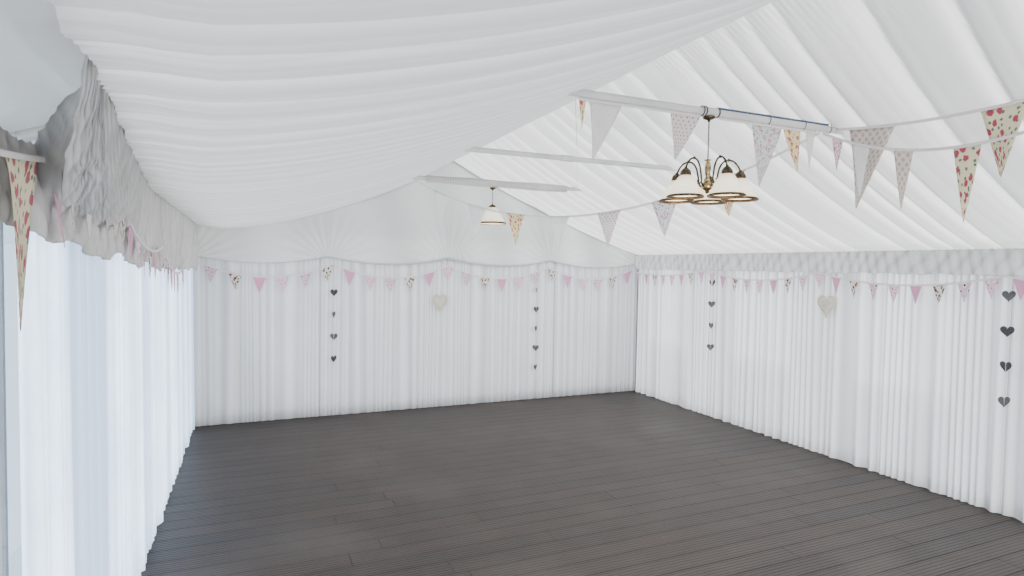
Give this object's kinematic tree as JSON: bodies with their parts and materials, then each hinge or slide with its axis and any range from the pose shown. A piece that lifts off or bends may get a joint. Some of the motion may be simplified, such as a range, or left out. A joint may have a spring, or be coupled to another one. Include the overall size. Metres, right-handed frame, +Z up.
{
  "type": "lined frame marquee",
  "caption": "White frame marquee with a boarded floor, pleated cloth lining, draped walls, tie bars, a chandelier, a pendant lamp, bunting and an open doorway in one gable.",
  "frame": {"origin": "on the ground, in the middle of the marquee's plan", "axes": "+Y along the ridge towards the closed gable, +X across to the right-hand wall, +Z up"},
  "size_m": [5.9626, 9.1266, 3.1833],
  "materials": {
    "galvanised_tube": "white powder coat over galvanised steel tube",
    "dark_boards": "dark brown boards with a low sheen",
    "coated_cloth": "white coated polyester, slightly glossy",
    "clear_film": "clear flexible film",
    "lining_cloth": "white satin voile in soft pleats",
    "gable_cloth": "flat white lining cloth",
    "curtain_cloth": "sheer white pleated voile",
    "valance_cloth": "crinkled sheer white cloth",
    "aged_brass": "antique brass",
    "frosted_glass": "frosted white glass, lit from inside",
    "bunting_cloth": "printed and plain cotton in pink, cream and white",
    "heart_glitter": "dark glitter card",
    "cream_wicker": "cream painted woven willow",
    "cord_thread": "thin pale twine",
    "blue_paint": "dark blue painted rod"
  },
  "bodies": {
    "root": {"arch_1": "galvanised_tube", "arch_2": "galvanised_tube", "arch_3": "galvanised_tube", "arch_4": "galvanised_tube", "arch_5": "galvanised_tube", "arch_6": "galvanised_tube", "arch_7": "galvanised_tube", "ridge_tube": "galvanised_tube", "eave_tube_left": "galvanised_tube", "eave_tube_right": "galvanised_tube", "floor_boards": "dark_boards", "roof_cover_left": "coated_cloth", "roof_cover_right": "coated_cloth", "wall_left": "coated_cloth", "wall_right": "coated_cloth", "windows_left": "clear_film", "windows_right": "clear_film", "gable_cover_back": "coated_cloth", "gable_cover_front": "coated_cloth", "wall_front_left": "coated_cloth", "wall_front_right": "coated_cloth", "roof_lining_left": "lining_cloth", "roof_lining_right": "lining_cloth", "gable_lining_back": "gable_cloth", "gable_lining_front": "gable_cloth", "curtain_left": "curtain_cloth", "curtain_right": "curtain_cloth", "curtain_back": "curtain_cloth", "curtain_front_left": "curtain_cloth", "curtain_front_right": "curtain_cloth", "valance_left": "valance_cloth", "valance_right": "valance_cloth", "tie_ruffle": "valance_cloth", "chandelier_frame": "aged_brass", "chandelier_shade_1": "frosted_glass", "chandelier_shade_2": "frosted_glass", "chandelier_shade_3": "frosted_glass", "chandelier_shade_4": "frosted_glass", "chandelier_shade_5": "frosted_glass", "pendant_rod": "aged_brass", "pendant_shade": "frosted_glass", "bunting_back": "bunting_cloth", "bunting_left": "bunting_cloth", "bunting_right": "bunting_cloth", "pennants_tie_left": "bunting_cloth", "pennants_tie_right": "bunting_cloth", "pennants_high": "bunting_cloth", "pennants_low": "bunting_cloth", "pennants_across": "bunting_cloth", "tie_cord": "cord_thread", "blue_rod": "blue_paint", "heart_string_back_1": "heart_glitter", "heart_string_back_2": "heart_glitter", "heart_string_right_1": "heart_glitter", "heart_string_right_2": "heart_glitter", "hanging_heart_back": "cream_wicker", "hanging_heart_right": "cream_wicker"}
  },
  "joints": []
}
